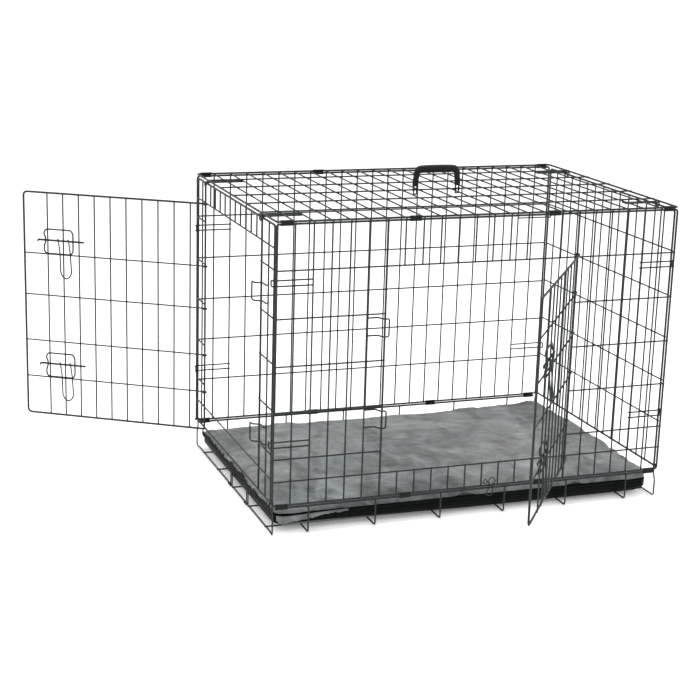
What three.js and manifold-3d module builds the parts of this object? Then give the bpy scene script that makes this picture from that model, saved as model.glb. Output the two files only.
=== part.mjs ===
// Folding wire dog crate with a carry handle, two doors, a slide-out tray and a plush bed.
// Units are millimetres, +Z is up, +X runs along the length and +Y to the back.
// The origin is on the floor at the middle of the crate, under the middle floor wire.
import * as THREE from 'three';
import { mergeVertices } from 'three/addons/utils/BufferGeometryUtils.js';
import Module from 'manifold-3d';

const wasm = await Module();
wasm.setup();

// Driving dimensions of the cage.
const LENGTH = 1060;
const WIDTH = 715;
const HEIGHT = 775;
const PITCH = LENGTH / 23;
const FRAME_R = 2.5;
const GRID_R = 1.6;
const JAMB_R = 2.2;
const LAYER = 1.75;
const STUB_W = -1.1;
const WELD_PAST = 0.3;
const CORNER_R = 8;
const HALF_X = LENGTH / 2;
const HALF_Y = WIDTH / 2;
const GAP = 0.3;

// Heights of the long panels, and the rows of wire across them.
const LONG_TOP = HEIGHT - 6;
const LONG_BOTTOM = 78;
const LONG_ROWS = [196, 312, 427, 543, 659];
const SILL = 139;
const HEADER = 659;

// The end panels hang between the long panels.
const END_HALF = 345;
const END_TOP = 765;
const END_BOTTOM = 83;
const END_ROWS = [206, 318, 433, 544, 660];
const END_SILL = 144;
const END_HEADER = 712;
const END_JAMBS = [-243, 272];
const END_MIDS = [-294, 308.5];

// The floor grid and its feet.
const FLOOR_HALF_X = 526;
const FLOOR_SQUARE = 1.7;
const FOOT_R = 1.7;
const FOOT_Z = 4.8;
const FOOT_X = [88, 263, 438];
const FLOOR_Y = [-292, -146, 0, 146, 292];
const UPSTAND_Z = LONG_BOTTOM - 6.5;
const FOOT_Y = HALF_Y + 3.9;
const UPSTAND_HALF_X = FLOOR_HALF_X - 2;
const EYE_Y = 350.6;
const EYE_R = 4.4;
const TRUNNION_R = 2;
const TRUNNION_ROOT = 12;
const TRUNNION_REACH = EYE_Y + 3;

// The doors: rows and uprights in each door's own plane, measured from its hinge.
const DOOR_FRAME_R = 2.4;
const HINGE_EYE_R = 5.2;
const DOOR_FRAME_W = 6.6;
const LEFT_DOOR = {
  length: 525,
  bottom: 76,
  top: 707,
  rows: [184, 289, 420, 537],
  uprights: 10,
  pitch: 45.7,
  latchRows: [184, 537],
  outward: -1,
  hinge: [-HALF_X, END_JAMBS[1]],
  closedAngle: -90,
  openAngle: -123,
};
const FRONT_JAMB = HALF_X - 6 * PITCH;
const FRONT_DOOR = {
  length: 514,
  bottom: 133,
  top: 665,
  rows: [235, 361, 465, 569],
  uprights: 9,
  pitch: PITCH,
  latchRows: [235, 465],
  outward: 1,
  hinge: [FRONT_JAMB, -HALF_Y],
  closedAngle: 180,
  openAngle: 53,
};

// The latches, measured back from a door's free edge and out from its plane.
const BOLT_R = 2.4;
const BOLT_W = 13.2;
const BOLT_RISE = 37;
const BOLT_TIP = 35;
const BOLT_TAIL = 172;
const BOLT_TURN = 4;
const GUIDE_R = 1.8;
const GUIDE_W = 12.4;
const GUIDE_BULGE_W = 17.8;
const GUIDE_NEAR = 57;
const GUIDE_FAR = 140;
const GUIDE_TALL = 68;
const PULL_R = 1.5;
const PULL_NEAR = 95.8;
const PULL_FAR = 125;
const PULL_DROP = 108;
const PULL_LEAN_W = 22;
const PULL_SHIFT = 5;
const KEEPER_W = 23;
const KEEPER_FOOT_W = JAMB_R + GAP + GRID_R;
const KEEPER_BELOW = { left: 6, front: 11 };
const KEEPER_TALL = 44;

// Hooks, clips, stops and the fold hook.
const HOOK_R = 1.5;
const HOOK_SPREAD = 7;
const HOOK_REACH = 92;
const HOOK_TIP = 6.5;
const HOOK_START_X = HALF_X - HOOK_REACH - 3;
const HOOK_TIP_Y = END_HALF - 4;
const HOOK_TIP_Z = END_TOP - 5;
const HOOK_LEVELS = { upper: 628, lower: 231 };
const ROOF_HOOK_Y = 250;
const CLIP_X = [-506, -184.4, 184.4, 506];
const CLIP_LONG = 30;
const CLIP_WALL = 1;
const STOP_R = 1.2;
const STOP_HALF = 6.5;
const STOP_TALL = 35;
const STOP_Y = { rear: 20, front: -126 };
const FOLD_HOOK_X = 51;
const FOLD_HOOK_R = 1.3;
const FOLD_HOOK_W = FRAME_R + 0.5 + FOLD_HOOK_R;
const FOLD_HOOK_CUP = 120;

// The tray, the bed and the handle.
const TRAY_X = 519;
const TRAY_Y = 341;
const TRAY_FOOT = FOOT_Z + FOOT_R + GAP;
const TRAY_RIM = 46;
const TRAY_STEP = 22;
const TRAY_INSET = 10;
const TRAY_LIP = 14;
const TRAY_FLOOR = 3;
const TRAY_CORNER = 26;
const BED_TOP = 75;
const BED_LAP = 1;
const BED_CLEAR = 2;
const HANDLE_X = 19;
const HANDLE_SPAN = 59.5;
const HANDLE_TOP = 842;
const HANDLE_SHOULDER = 56;
const HANDLE_THICK = 13;
const HANDLE_LEG = 14;
const HANDLE_PIN_R = 1.8;
const GRIP_R = 11;
const HANDLE_EYE = { inner: 2.2, outer: 5.4, apart: 4.5, thick: 3, stem: 1.5, rise: 9, drop: 11.5 };

const COAT = { color: 0x2b3535, roughness: 0.45, metalness: 0.35 };
const wireCoat = new THREE.MeshStandardMaterial(COAT);
const clipSteel = new THREE.MeshStandardMaterial({ color: 0x1d2424, roughness: 0.4, metalness: 0.6 });
const blackPlastic = new THREE.MeshStandardMaterial({ color: 0x151818, roughness: 0.5, metalness: 0 });
const greyPlush = new THREE.MeshStandardMaterial({ color: 0x868c8c, roughness: 0.95, metalness: 0 });

const vec = (x, y, z) => new THREE.Vector3(x, y, z);
const degrees = THREE.MathUtils.degToRad;

// A wire that runs straight from point to point, with its section mitred at every bend.
class WireLine extends THREE.Curve {
  constructor(points) {
    super();
    this.points = points;
  }

  getPoint(t, target = vec(0, 0, 0)) {
    const last = this.points.length - 1;
    const index = Math.min(Math.floor(t * last + 1e-6), last - 1);
    return target.lerpVectors(this.points[index], this.points[index + 1], t * last - index);
  }

  getPointAt(u, target) {
    return this.getPoint(u, target);
  }

  getTangentAt(u, target = vec(0, 0, 0)) {
    const last = this.points.length - 1;
    const index = Math.round(u * last);
    const back = this.points[Math.max(index - 1, 0)];
    const here = this.points[index];
    const next = this.points[Math.min(index + 1, last)];
    const arriving = here.clone().sub(back).normalize();
    const leaving = next.clone().sub(here).normalize();
    return target.addVectors(arriving, leaving).normalize();
  }
}

function polygon(radius, sides) {
  const section = new THREE.Shape();
  for (let i = 0; i < sides; i += 1) {
    const turn = (i / sides) * Math.PI * 2;
    if (i === 0) section.moveTo(radius, 0);
    else section.lineTo(radius * Math.cos(turn), radius * Math.sin(turn));
  }
  return section;
}

// Rounds the inner corners of a line of points.
function bend(points, radius, steps = 2) {
  const line = [points[0]];
  for (let i = 1; i < points.length - 1; i += 1) {
    const before = points[i - 1].clone().sub(points[i]).setLength(radius).add(points[i]);
    const after = points[i + 1].clone().sub(points[i]).setLength(radius).add(points[i]);
    line.push(...new THREE.QuadraticBezierCurve3(before, points[i], after).getPoints(steps));
  }
  line.push(points[points.length - 1]);
  return line;
}

function bentWire(points, radius, sides = 4) {
  const settings = { steps: points.length - 1, extrudePath: new WireLine(points), bevelEnabled: false };
  return new THREE.ExtrudeGeometry(polygon(radius, sides), settings);
}

// A straight wire of diamond section, or of square section when it is turned by an eighth.
function rod(from, to, radius, sides = 4, turn = 0) {
  const along = to.clone().sub(from);
  const geometry = new THREE.CylinderGeometry(radius, radius, along.length(), sides, 1);
  geometry.rotateY(turn);
  const aim = new THREE.Quaternion().setFromUnitVectors(vec(0, 1, 0), along.clone().normalize());
  geometry.applyQuaternion(aim);
  const middle = from.clone().add(to).multiplyScalar(0.5);
  return geometry.translate(middle.x, middle.y, middle.z);
}

function toSolid(geometry) {
  const bare = geometry.clone();
  bare.deleteAttribute('normal');
  bare.deleteAttribute('uv');
  const merged = mergeVertices(bare, 1e-4);
  const vertProperties = new Float32Array(merged.attributes.position.array);
  const triVerts = new Uint32Array(merged.index.array);
  return new wasm.Manifold(new wasm.Mesh({ numProp: 3, vertProperties, triVerts }));
}

function toGeometry(solid) {
  const mesh = solid.getMesh();
  const geometry = new THREE.BufferGeometry();
  geometry.setAttribute('position', new THREE.BufferAttribute(mesh.vertProperties, 3));
  geometry.setIndex(new THREE.BufferAttribute(mesh.triVerts, 1));
  geometry.computeVertexNormals();
  return geometry;
}

const weld = (pieces) => toGeometry(pieces.map(toSolid).reduce((whole, piece) => whole.add(piece)));
const cut = (body, tool) => toGeometry(toSolid(body).subtract(toSolid(tool)));

const crate = new THREE.Group();

function addNode(name, geometry, material, parent = crate) {
  const mesh = new THREE.Mesh(geometry, material);
  mesh.name = name;
  parent.add(mesh);
}

const range = (count) => Array.from({ length: count }, (_, i) => i);

// A rectangular frame of bent wire with round corners, made of two halves that meet end to end.
function frameLoop(place, u, v, radius) {
  const middle = (u[0] + u[1]) / 2;
  const half = (side, past) => {
    const points = [
      place(middle + past, v[0], 0),
      place(side, v[0], 0),
      place(side, v[1], 0),
      place(middle + past, v[1], 0),
    ];
    return bentWire(bend(points, CORNER_R), radius);
  };
  return [half(u[0], 1), half(u[1], -1)];
}

// Rows lie on the outer side of a panel and uprights on the inner side, as welded mesh does.
// Every wire runs a little past the wires that it is welded to.
function row(place, from, to, v) {
  return rod(place(from - WELD_PAST, v, LAYER), place(to + WELD_PAST, v, LAYER), GRID_R);
}

function upright(place, u, from, to, w = -LAYER, radius = GRID_R) {
  return rod(place(u, from - WELD_PAST, w), place(u, to + WELD_PAST, w), radius);
}

const placeFront = (u, v, w) => vec(u, -HALF_Y - w, v);
const placeBack = (u, v, w) => vec(u, HALF_Y + w, v);
const placeRoof = (u, v, w) => vec(u, v, HEIGHT + w);
const placeLeft = (u, v, w) => vec(-HALF_X - w, u, v);
const placeRight = (u, v, w) => vec(HALF_X + w, u, v);

const columns = range(22).map((i) => -HALF_X + (i + 1) * PITCH);

function frontPanel() {
  const pieces = frameLoop(placeFront, [-HALF_X, HALF_X], [LONG_BOTTOM, LONG_TOP], FRAME_R);
  pieces.push(...[SILL, HEADER].map((v) => row(placeFront, -HALF_X, HALF_X, v)));
  for (const v of LONG_ROWS.filter((level) => level !== HEADER)) {
    pieces.push(row(placeFront, -HALF_X, -FRONT_JAMB, v), row(placeFront, FRONT_JAMB, HALF_X, v));
  }
  for (const u of columns) {
    if (Math.abs(Math.abs(u) - FRONT_JAMB) < 1) {
      pieces.push(upright(placeFront, u, LONG_BOTTOM, LONG_TOP, 0, JAMB_R));
    } else if (Math.abs(u) < FRONT_JAMB) {
      pieces.push(upright(placeFront, u, LONG_BOTTOM, SILL, STUB_W));
      pieces.push(upright(placeFront, u, HEADER, LONG_TOP, STUB_W));
    } else {
      pieces.push(upright(placeFront, u, LONG_BOTTOM, LONG_TOP));
    }
  }
  return weld(pieces);
}

function backPanel() {
  const pieces = frameLoop(placeBack, [-HALF_X, HALF_X], [LONG_BOTTOM, LONG_TOP], FRAME_R);
  pieces.push(...LONG_ROWS.map((v) => row(placeBack, -HALF_X, HALF_X, v)));
  pieces.push(...columns.map((u) => upright(placeBack, u, LONG_BOTTOM, LONG_TOP)));
  return weld(pieces);
}

function roofPanel() {
  const pieces = frameLoop(placeRoof, [-HALF_X, HALF_X], [-HALF_Y, HALF_Y], FRAME_R);
  for (const i of range(5)) {
    const v = -HALF_Y + (i + 1) * (WIDTH / 6);
    pieces.push(row(placeRoof, -HALF_X, HALF_X, v));
  }
  pieces.push(...columns.map((u) => upright(placeRoof, u, -HALF_Y, HALF_Y)));
  return weld(pieces);
}

// Short pins in line with an end panel's bottom wire, which turn in the eyes of the floor panel.
function trunnions(place) {
  return [-1, 1].map((side) => {
    const root = place(side * (END_HALF - TRUNNION_ROOT), END_BOTTOM, 0);
    return rod(root, place(side * TRUNNION_REACH, END_BOTTOM, 0), TRUNNION_R);
  });
}

function leftEndPanel() {
  const [frontJamb, backJamb] = END_JAMBS;
  const pieces = frameLoop(placeLeft, [-END_HALF, END_HALF], [END_BOTTOM, END_TOP], FRAME_R);
  pieces.push(...[END_SILL, END_HEADER].map((v) => row(placeLeft, -END_HALF, END_HALF, v)));
  for (const v of END_ROWS) {
    pieces.push(row(placeLeft, -END_HALF, frontJamb, v), row(placeLeft, backJamb, END_HALF, v));
  }
  pieces.push(...END_MIDS.map((u) => upright(placeLeft, u, END_BOTTOM, END_TOP)));
  pieces.push(...END_JAMBS.map((u) => upright(placeLeft, u, END_BOTTOM, END_TOP, 0, JAMB_R)));
  for (const i of range(10)) {
    const u = frontJamb + ((i + 1) * (backJamb - frontJamb)) / 11;
    pieces.push(upright(placeLeft, u, END_HEADER, END_TOP, STUB_W));
  }
  return weld([...pieces, ...trunnions(placeLeft)]);
}

function rightEndPanel() {
  const pieces = frameLoop(placeRight, [-END_HALF, END_HALF], [END_BOTTOM, END_TOP], FRAME_R);
  pieces.push(...END_ROWS.map((v) => row(placeRight, -END_HALF, END_HALF, v)));
  for (const i of range(14)) {
    pieces.push(upright(placeRight, -END_HALF + ((i + 1) * 2 * END_HALF) / 15, END_BOTTOM, END_TOP));
  }
  return weld([...pieces, ...trunnions(placeRight)]);
}

// Points on an arc about a centre, in the plane of two unit directions.
function arc(centre, first, second, radius, fromDegrees, toDegrees, steps) {
  return range(steps + 1).map((i) => {
    const turn = degrees(fromDegrees + ((toDegrees - fromDegrees) * i) / steps);
    const offset = first.clone().multiplyScalar(Math.cos(turn)).addScaledVector(second, Math.sin(turn));
    return centre.clone().addScaledVector(offset, radius);
  });
}

function floorPanel() {
  const squareCorner = FLOOR_SQUARE * Math.SQRT2;
  const reach = FLOOR_HALF_X + FLOOR_SQUARE;
  const pieces = FLOOR_Y.map((y) => {
    return rod(vec(-reach, y, FLOOR_SQUARE), vec(reach, y, FLOOR_SQUARE), squareCorner, 4, Math.PI / 4);
  });
  for (const x of FOOT_X.flatMap((value) => [-value, value])) {
    const points = [
      vec(x, -FOOT_Y, UPSTAND_Z + 1),
      vec(x, -FOOT_Y, FOOT_Z),
      vec(x, FOOT_Y, FOOT_Z),
      vec(x, FOOT_Y, UPSTAND_Z + 1),
    ];
    pieces.push(bentWire(bend(points, CORNER_R), FOOT_R));
  }
  for (const y of [-HALF_Y, HALF_Y]) {
    const upstand = [vec(-UPSTAND_HALF_X, y, UPSTAND_Z), vec(UPSTAND_HALF_X, y, UPSTAND_Z)];
    pieces.push(rod(...upstand, FRAME_R));
  }
  for (const side of [-1, 1]) {
    const eyes = [-1, 1].map((end) => {
      const centre = vec(side * HALF_X, end * EYE_Y, END_BOTTOM);
      return arc(centre, vec(-side, 0, 0), vec(0, 0, -1), EYE_R, -225, 60, 7);
    });
    const floorLine = [
      vec(side * FLOOR_HALF_X, -EYE_Y, FOOT_Z),
      vec(side * FLOOR_HALF_X, EYE_Y, FOOT_Z),
    ];
    const points = [eyes[0][7], floorLine[0], floorLine[1], eyes[1][7]];
    const round = bend(points, CORNER_R);
    const line = [...eyes[0].slice(0, 7), ...round, ...eyes[1].slice(0, 7).reverse()];
    pieces.push(bentWire(line, FOOT_R - 0.1));
  }
  return weld(pieces);
}

// A door lies in its own frame: x from the hinge, z up, and w out of the crate.
function doorPanel(door) {
  const at = (s, z, w) => vec(s, door.outward * w, z);
  const frame = [
    at(3, door.bottom, DOOR_FRAME_W),
    at(door.length, door.bottom, DOOR_FRAME_W),
    at(door.length, door.top, DOOR_FRAME_W),
    at(3, door.top, DOOR_FRAME_W),
  ];
  const pieces = [bentWire(bend(frame, CORNER_R * 1.5, 3), DOOR_FRAME_R)];
  for (const z of door.rows) {
    const ring = arc(vec(0, 0, z), vec(0, door.outward, 0), vec(-1, 0, 0), HINGE_EYE_R, 0, 280, 7);
    pieces.push(bentWire([at(door.length, z, HINGE_EYE_R), ...ring], GRID_R));
  }
  for (const i of range(door.uprights)) {
    const s = (i + 1) * door.pitch;
    const w = HINGE_EYE_R + 2 * LAYER;
    pieces.push(rod(at(s, door.bottom, w), at(s, door.top, w), GRID_R));
  }
  return weld(pieces);
}

function latchGuide(door, z) {
  const at = (back, rise, w) => vec(door.length - back, door.outward * w, z + rise);
  const side = (back, inward) => [
    at(back, 8, GUIDE_W),
    at(back, 22, GUIDE_W + 1),
    at(back + inward, 30, GUIDE_BULGE_W),
    at(back + inward, 44, GUIDE_BULGE_W),
    at(back, 52, GUIDE_W + 1),
    at(back, GUIDE_TALL - 9, GUIDE_W),
  ];
  const middle = (GUIDE_NEAR + GUIDE_FAR) / 2;
  const half = (back, inward, past) => [
    at(middle + past, 0, GUIDE_W),
    at(back + 3 * inward, 0, GUIDE_W),
    ...side(back, inward),
    at(back + 3 * inward, GUIDE_TALL, GUIDE_W),
    at(middle + past, GUIDE_TALL, GUIDE_W),
  ];
  return weld([bentWire(half(GUIDE_NEAR, 2, 1), GUIDE_R), bentWire(half(GUIDE_FAR, -2, -1), GUIDE_R)]);
}

function latchBolt(door, z) {
  const at = (back, rise) => vec(door.length - back, door.outward * BOLT_W, z + BOLT_RISE + rise);
  return weld([
    rod(at(BOLT_TIP, 0), at(BOLT_TAIL, 0), BOLT_R, 6),
    rod(at(BOLT_TIP + 2, 0), at(BOLT_TIP + 1, -BOLT_TURN - 2), BOLT_R * 0.8, 6),
  ]);
}

function latchPull(door, z) {
  const at = (back, rise, w) => vec(door.length - back, door.outward * w, z + BOLT_RISE + rise);
  const ring = BOLT_R + 0.4 + PULL_R;
  const leg = (back) => {
    const over = arc(at(back, 0, BOLT_W), vec(0, door.outward, 0), vec(0, 0, 1), ring, 75, 0, 3);
    return [...over, at(back + PULL_SHIFT, -34, GUIDE_W + GUIDE_R + 0.8 + PULL_R)];
  };
  const low = (back, rise) => at(back + PULL_SHIFT, rise, PULL_LEAN_W);
  const first = [...leg(PULL_NEAR), low(PULL_NEAR - 1, 16 - PULL_DROP), low(PULL_NEAR + 6, 4 - PULL_DROP)];
  const foot = low((PULL_NEAR + PULL_FAR) / 2, -PULL_DROP);
  const last = [...leg(PULL_FAR), low(PULL_FAR + 1, 16 - PULL_DROP), low(PULL_FAR - 6, 4 - PULL_DROP)];
  return bentWire([...first, foot, ...last.reverse()], PULL_R);
}

// A keeper reaches out past the edge of the closed door, so that a bolt slides in behind it.
function keeper(place, foot, knee, head, low) {
  const high = low + KEEPER_TALL;
  const step = Math.sign(head - foot);
  const points = [
    place(foot, low, KEEPER_FOOT_W),
    place(knee, low, KEEPER_FOOT_W),
    place(knee + step * 9, low, KEEPER_W),
    place(head, low, KEEPER_W),
    place(head, high, KEEPER_W),
    place(knee + step * 9, high, KEEPER_W),
    place(knee, high, KEEPER_FOOT_W),
    place(foot, high, KEEPER_FOOT_W),
  ];
  return bentWire(bend(points, 4, 2), GRID_R);
}

function addDoor(name, door) {
  const group = new THREE.Group();
  group.position.set(door.hinge[0], door.hinge[1], 0);
  group.rotation.z = degrees(door.closedAngle + door.openAngle);
  crate.add(group);
  addNode(`${name}_door`, doorPanel(door), wireCoat, group);
  door.latchRows.forEach((z, i) => {
    const label = `${name}_${i === 0 ? 'lower' : 'upper'}`;
    addNode(`${label}_latch_guide`, latchGuide(door, z), wireCoat, group);
    addNode(`${label}_latch_bolt`, latchBolt(door, z), wireCoat, group);
    addNode(`${label}_latch_pull`, latchPull(door, z), wireCoat, group);
  });
}

// A hairpin of wire along a panel, whose closed end cups the neighbouring panel from outside.
function hairpin(start, corner, tip, spread, radius) {
  const shifted = (point, side) => point.clone().addScaledVector(spread, side);
  const line = [start, corner, tip].map((point) => shifted(point, 1));
  const back = [tip, corner, start].map((point) => shifted(point, -1));
  return bentWire(bend([...line, ...back], 3, 2), radius);
}

function addCornerHooks() {
  const y = HALF_Y - LAYER - GRID_R - GAP - HOOK_R;
  const x = HALF_X + HOOK_TIP;
  for (const [sideName, side] of [['front', -1], ['back', 1]]) {
    for (const [endName, end] of [['left', -1], ['right', 1]]) {
      for (const [levelName, z] of Object.entries(HOOK_LEVELS)) {
        const start = vec(end * HOOK_START_X, side * y, z);
        const corner = vec(end * x, side * y, z);
        const tip = vec(end * x, side * HOOK_TIP_Y, z);
        const hook = hairpin(start, corner, tip, vec(0, 0, HOOK_SPREAD), HOOK_R);
        addNode(`${sideName}_${endName}_${levelName}_hook`, hook, wireCoat);
      }
      const z = HEIGHT - LAYER - GRID_R - GAP - HOOK_R;
      const start = vec(end * HOOK_START_X, side * ROOF_HOOK_Y, z);
      const corner = vec(end * x, side * ROOF_HOOK_Y, z);
      const tip = vec(end * x, side * ROOF_HOOK_Y, HOOK_TIP_Z);
      const hook = hairpin(start, corner, tip, vec(0, HOOK_SPREAD, 0), HOOK_R);
      addNode(`roof_${endName}_${sideName}_hook`, hook, wireCoat);
    }
  }
}

// A folded steel clip round two wires that lie one above the other.
function clip(middleZ, apart) {
  const innerY = FRAME_R + GAP;
  const innerZ = apart / 2 + FRAME_R + GAP;
  const outerY = innerY + CLIP_WALL;
  const outerZ = innerZ + CLIP_WALL;
  const lip = innerZ * 0.35;
  const outline = [
    [-innerY, -lip], [-outerY, -lip], [-outerY, -outerZ], [outerY, -outerZ],
    [outerY, outerZ], [-outerY, outerZ], [-outerY, lip], [-innerY, lip],
    [-innerY, innerZ], [innerY, innerZ], [innerY, -innerZ], [-innerY, -innerZ],
  ];
  const shape = new THREE.Shape(outline.map(([a, b]) => new THREE.Vector2(a, b)));
  const geometry = new THREE.ExtrudeGeometry(shape, { depth: CLIP_LONG, bevelEnabled: false });
  geometry.rotateX(Math.PI / 2);
  geometry.rotateZ(Math.PI / 2);
  return geometry.translate(-CLIP_LONG / 2, 0, middleZ);
}

function addClips() {
  for (const [sideName, side] of [['front', -1], ['back', 1]]) {
    CLIP_X.forEach((x, i) => {
      for (const [edge, z, apart] of [
        ['top', (HEIGHT + LONG_TOP) / 2, HEIGHT - LONG_TOP],
        ['bottom', (LONG_BOTTOM + UPSTAND_Z) / 2, LONG_BOTTOM - UPSTAND_Z],
      ]) {
        const geometry = clip(z, apart);
        if (side < 0) geometry.rotateZ(Math.PI);
        geometry.translate(x, side * HALF_Y, 0);
        addNode(`${sideName}_${edge}_clip_${i + 1}`, geometry, clipSteel);
      }
    });
  }
}

function addStops() {
  const ring = FOOT_R - 0.1 + 0.4 + STOP_R;
  const centre = vec(-FLOOR_HALF_X, 0, FOOT_Z);
  for (const [name, y] of Object.entries(STOP_Y)) {
    const leg = (side) => {
      const round = arc(centre, vec(1, 0, 0), vec(0, 0, 1), ring, -230, 0, 6);
      const upright = vec(-FLOOR_HALF_X + ring, 0, STOP_TALL);
      return [...round, upright].map((point) => point.clone().setY(y + side * STOP_HALF));
    };
    const line = [...leg(-1), ...leg(1).reverse()];
    addNode(`tray_stop_${name}`, bentWire(line, STOP_R), wireCoat);
  }
}

// The fold hook stands in front of the long panel's bottom wire and cups it with two short arcs.
function addFoldHook() {
  const at = (x, z, w = FOLD_HOOK_W) => vec(FOLD_HOOK_X + x, -HALF_Y - w, LONG_BOTTOM + z);
  const cup = (x) => {
    return arc(at(x, 0, 0), vec(0, -1, 0), vec(0, 0, 1), FOLD_HOOK_W, FOLD_HOOK_CUP, 8, 4);
  };
  const top = at(0, 21.5);
  const foot = at(-7, -26.5);
  const leftSide = [top, at(-7, 18), at(-8, 10), at(-5, 0), at(-14, -21), foot];
  const rightSide = [
    at(-1, 21.5), top, at(6, 18.5), at(9, 10), at(5, 0), at(0.5, -23), foot, at(-8, -26.5),
  ];
  const tail = [at(-8, 11), at(-12, 9.5), at(-19, 7.5), at(-26, 10, 9), at(-37, 13.5, 12)];
  const loop = [at(-24, 9, 6), at(-24.5, 14), at(-19, 18), at(-13.5, 14), at(-13.5, 9)];
  const pieces = [leftSide, rightSide, tail, loop, cup(-5), cup(5)];
  addNode('front_fold_hook', weld(pieces.map((line) => bentWire(line, FOLD_HOOK_R))), wireCoat);
}

function roundedSlab(halfX, halfY, radius, from, to, steps = 3) {
  const shape = new THREE.Shape();
  shape.moveTo(-halfX + radius, -halfY);
  shape.lineTo(halfX - radius, -halfY);
  shape.quadraticCurveTo(halfX, -halfY, halfX, -halfY + radius);
  shape.lineTo(halfX, halfY - radius);
  shape.quadraticCurveTo(halfX, halfY, halfX - radius, halfY);
  shape.lineTo(-halfX + radius, halfY);
  shape.quadraticCurveTo(-halfX, halfY, -halfX, halfY - radius);
  shape.lineTo(-halfX, -halfY + radius);
  shape.quadraticCurveTo(-halfX, -halfY, -halfX + radius, -halfY);
  const settings = { depth: to - from, bevelEnabled: false, curveSegments: steps };
  return new THREE.ExtrudeGeometry(shape, settings).translate(0, 0, from);
}

function addTray() {
  const bottom = [TRAY_X - TRAY_INSET, TRAY_Y - TRAY_INSET, TRAY_CORNER - 6];
  const pan = roundedSlab(...bottom, TRAY_FOOT, TRAY_STEP + 2);
  const rim = roundedSlab(TRAY_X, TRAY_Y, TRAY_CORNER, TRAY_STEP, TRAY_RIM);
  const inner = [TRAY_X - TRAY_LIP, TRAY_Y - TRAY_LIP, TRAY_CORNER - 10];
  const hollow = roundedSlab(...inner, TRAY_FOOT + TRAY_FLOOR, TRAY_RIM + 10);
  addNode('tray', cut(weld([pan, rim]), hollow), blackPlastic);
}

// The mat fills the tray and laps over its rim by less than the gap to the cage.
function addBed() {
  const filling = [TRAY_X - TRAY_LIP - BED_CLEAR, TRAY_Y - TRAY_LIP - BED_CLEAR, TRAY_CORNER - 10];
  const inside = roundedSlab(...filling, TRAY_FOOT + TRAY_FLOOR + GAP, TRAY_RIM + 2);
  const edge = [TRAY_X + BED_LAP, TRAY_Y + BED_LAP, TRAY_CORNER];
  const lap = roundedSlab(...edge, TRAY_RIM + GAP, BED_TOP);
  addNode('bed', weld([inside, lap]), greyPlush);
}

// One cheek of a handle link: an eye round the roof wire, with a stem above and below it.
function handleCheek(x, footTop, low) {
  const axisZ = HEIGHT + LAYER;
  const clear = HANDLE_EYE.outer - HANDLE_EYE.stem;
  const upper = rod(vec(x, 0, axisZ + clear), vec(x, 0, footTop + 1), HANDLE_EYE.stem, 6);
  const lower = rod(vec(x, 0, low), vec(x, 0, axisZ - clear), HANDLE_EYE.stem, 6);
  return [handleEye(x), upper, lower];
}

function handleEye(x) {
  const shape = polygon(HANDLE_EYE.outer, 8);
  shape.holes.push(polygon(HANDLE_EYE.inner, 8));
  const settings = { depth: HANDLE_EYE.thick, bevelEnabled: false };
  const geometry = new THREE.ExtrudeGeometry(shape, settings).rotateY(Math.PI / 2);
  return geometry.translate(x - HANDLE_EYE.thick / 2, 0, HEIGHT + LAYER);
}

function carryHandle() {
  const axisZ = HEIGHT + LAYER;
  const footTop = axisZ + HANDLE_EYE.rise;
  const foot = HANDLE_SPAN + HANDLE_LEG / 2;
  const outline = [
    [-foot, footTop],
    [-HANDLE_SHOULDER - 4, HANDLE_TOP - 12],
    [-HANDLE_SHOULDER + 5, HANDLE_TOP - 3],
    [HANDLE_SHOULDER - 5, HANDLE_TOP - 3],
    [HANDLE_SHOULDER + 4, HANDLE_TOP - 12],
    [foot, footTop],
    [foot - HANDLE_LEG, footTop],
    [HANDLE_SHOULDER - 12, HANDLE_TOP - 20],
    [-HANDLE_SHOULDER + 12, HANDLE_TOP - 20],
    [-foot + HANDLE_LEG, footTop],
  ];
  const shape = new THREE.Shape(outline.map(([a, b]) => new THREE.Vector2(a, b)));
  const bow = new THREE.ExtrudeGeometry(shape, { depth: HANDLE_THICK, bevelEnabled: false });
  bow.rotateX(Math.PI / 2).translate(0, HANDLE_THICK / 2, 0);
  const gripZ = HANDLE_TOP - GRIP_R;
  const gripEnd = HANDLE_SHOULDER - 2;
  const grip = rod(vec(-gripEnd, 0, gripZ), vec(gripEnd, 0, gripZ), GRIP_R, 8, Math.PI / 8);
  const pieces = [bow, grip];
  for (const side of [-1, 1]) {
    const x = side * HANDLE_SPAN;
    const low = axisZ - HANDLE_EYE.drop;
    pieces.push(...handleCheek(x - HANDLE_EYE.apart, footTop, low));
    pieces.push(...handleCheek(x + HANDLE_EYE.apart, footTop, low));
    pieces.push(rod(vec(x - 6, 0, low), vec(x + 6, 0, low), HANDLE_PIN_R, 6));
  }
  return weld(pieces).translate(HANDLE_X, 0, 0);
}

addNode('floor_panel', floorPanel(), wireCoat);
addNode('front_panel', frontPanel(), wireCoat);
addNode('back_panel', backPanel(), wireCoat);
addNode('roof_panel', roofPanel(), wireCoat);
addNode('left_end_panel', leftEndPanel(), wireCoat);
addNode('right_end_panel', rightEndPanel(), wireCoat);
addDoor('left', LEFT_DOOR);
addDoor('front', FRONT_DOOR);
for (const [name, i] of [['lower', 0], ['upper', 1]]) {
  const leftLow = LEFT_DOOR.latchRows[i] + BOLT_RISE - KEEPER_BELOW.left;
  const frontLow = FRONT_DOOR.latchRows[i] + BOLT_RISE - KEEPER_BELOW.front;
  const leftKeeper = keeper(placeLeft, END_MIDS[0], END_JAMBS[0] - 24, END_JAMBS[0] + 2, leftLow);
  const frontKeeper = keeper(placeFront, -FRONT_JAMB - PITCH, -FRONT_JAMB - 20, -FRONT_JAMB + 2, frontLow);
  addNode(`left_${name}_keeper`, leftKeeper, wireCoat);
  addNode(`front_${name}_keeper`, frontKeeper, wireCoat);
}
addCornerHooks();
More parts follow.
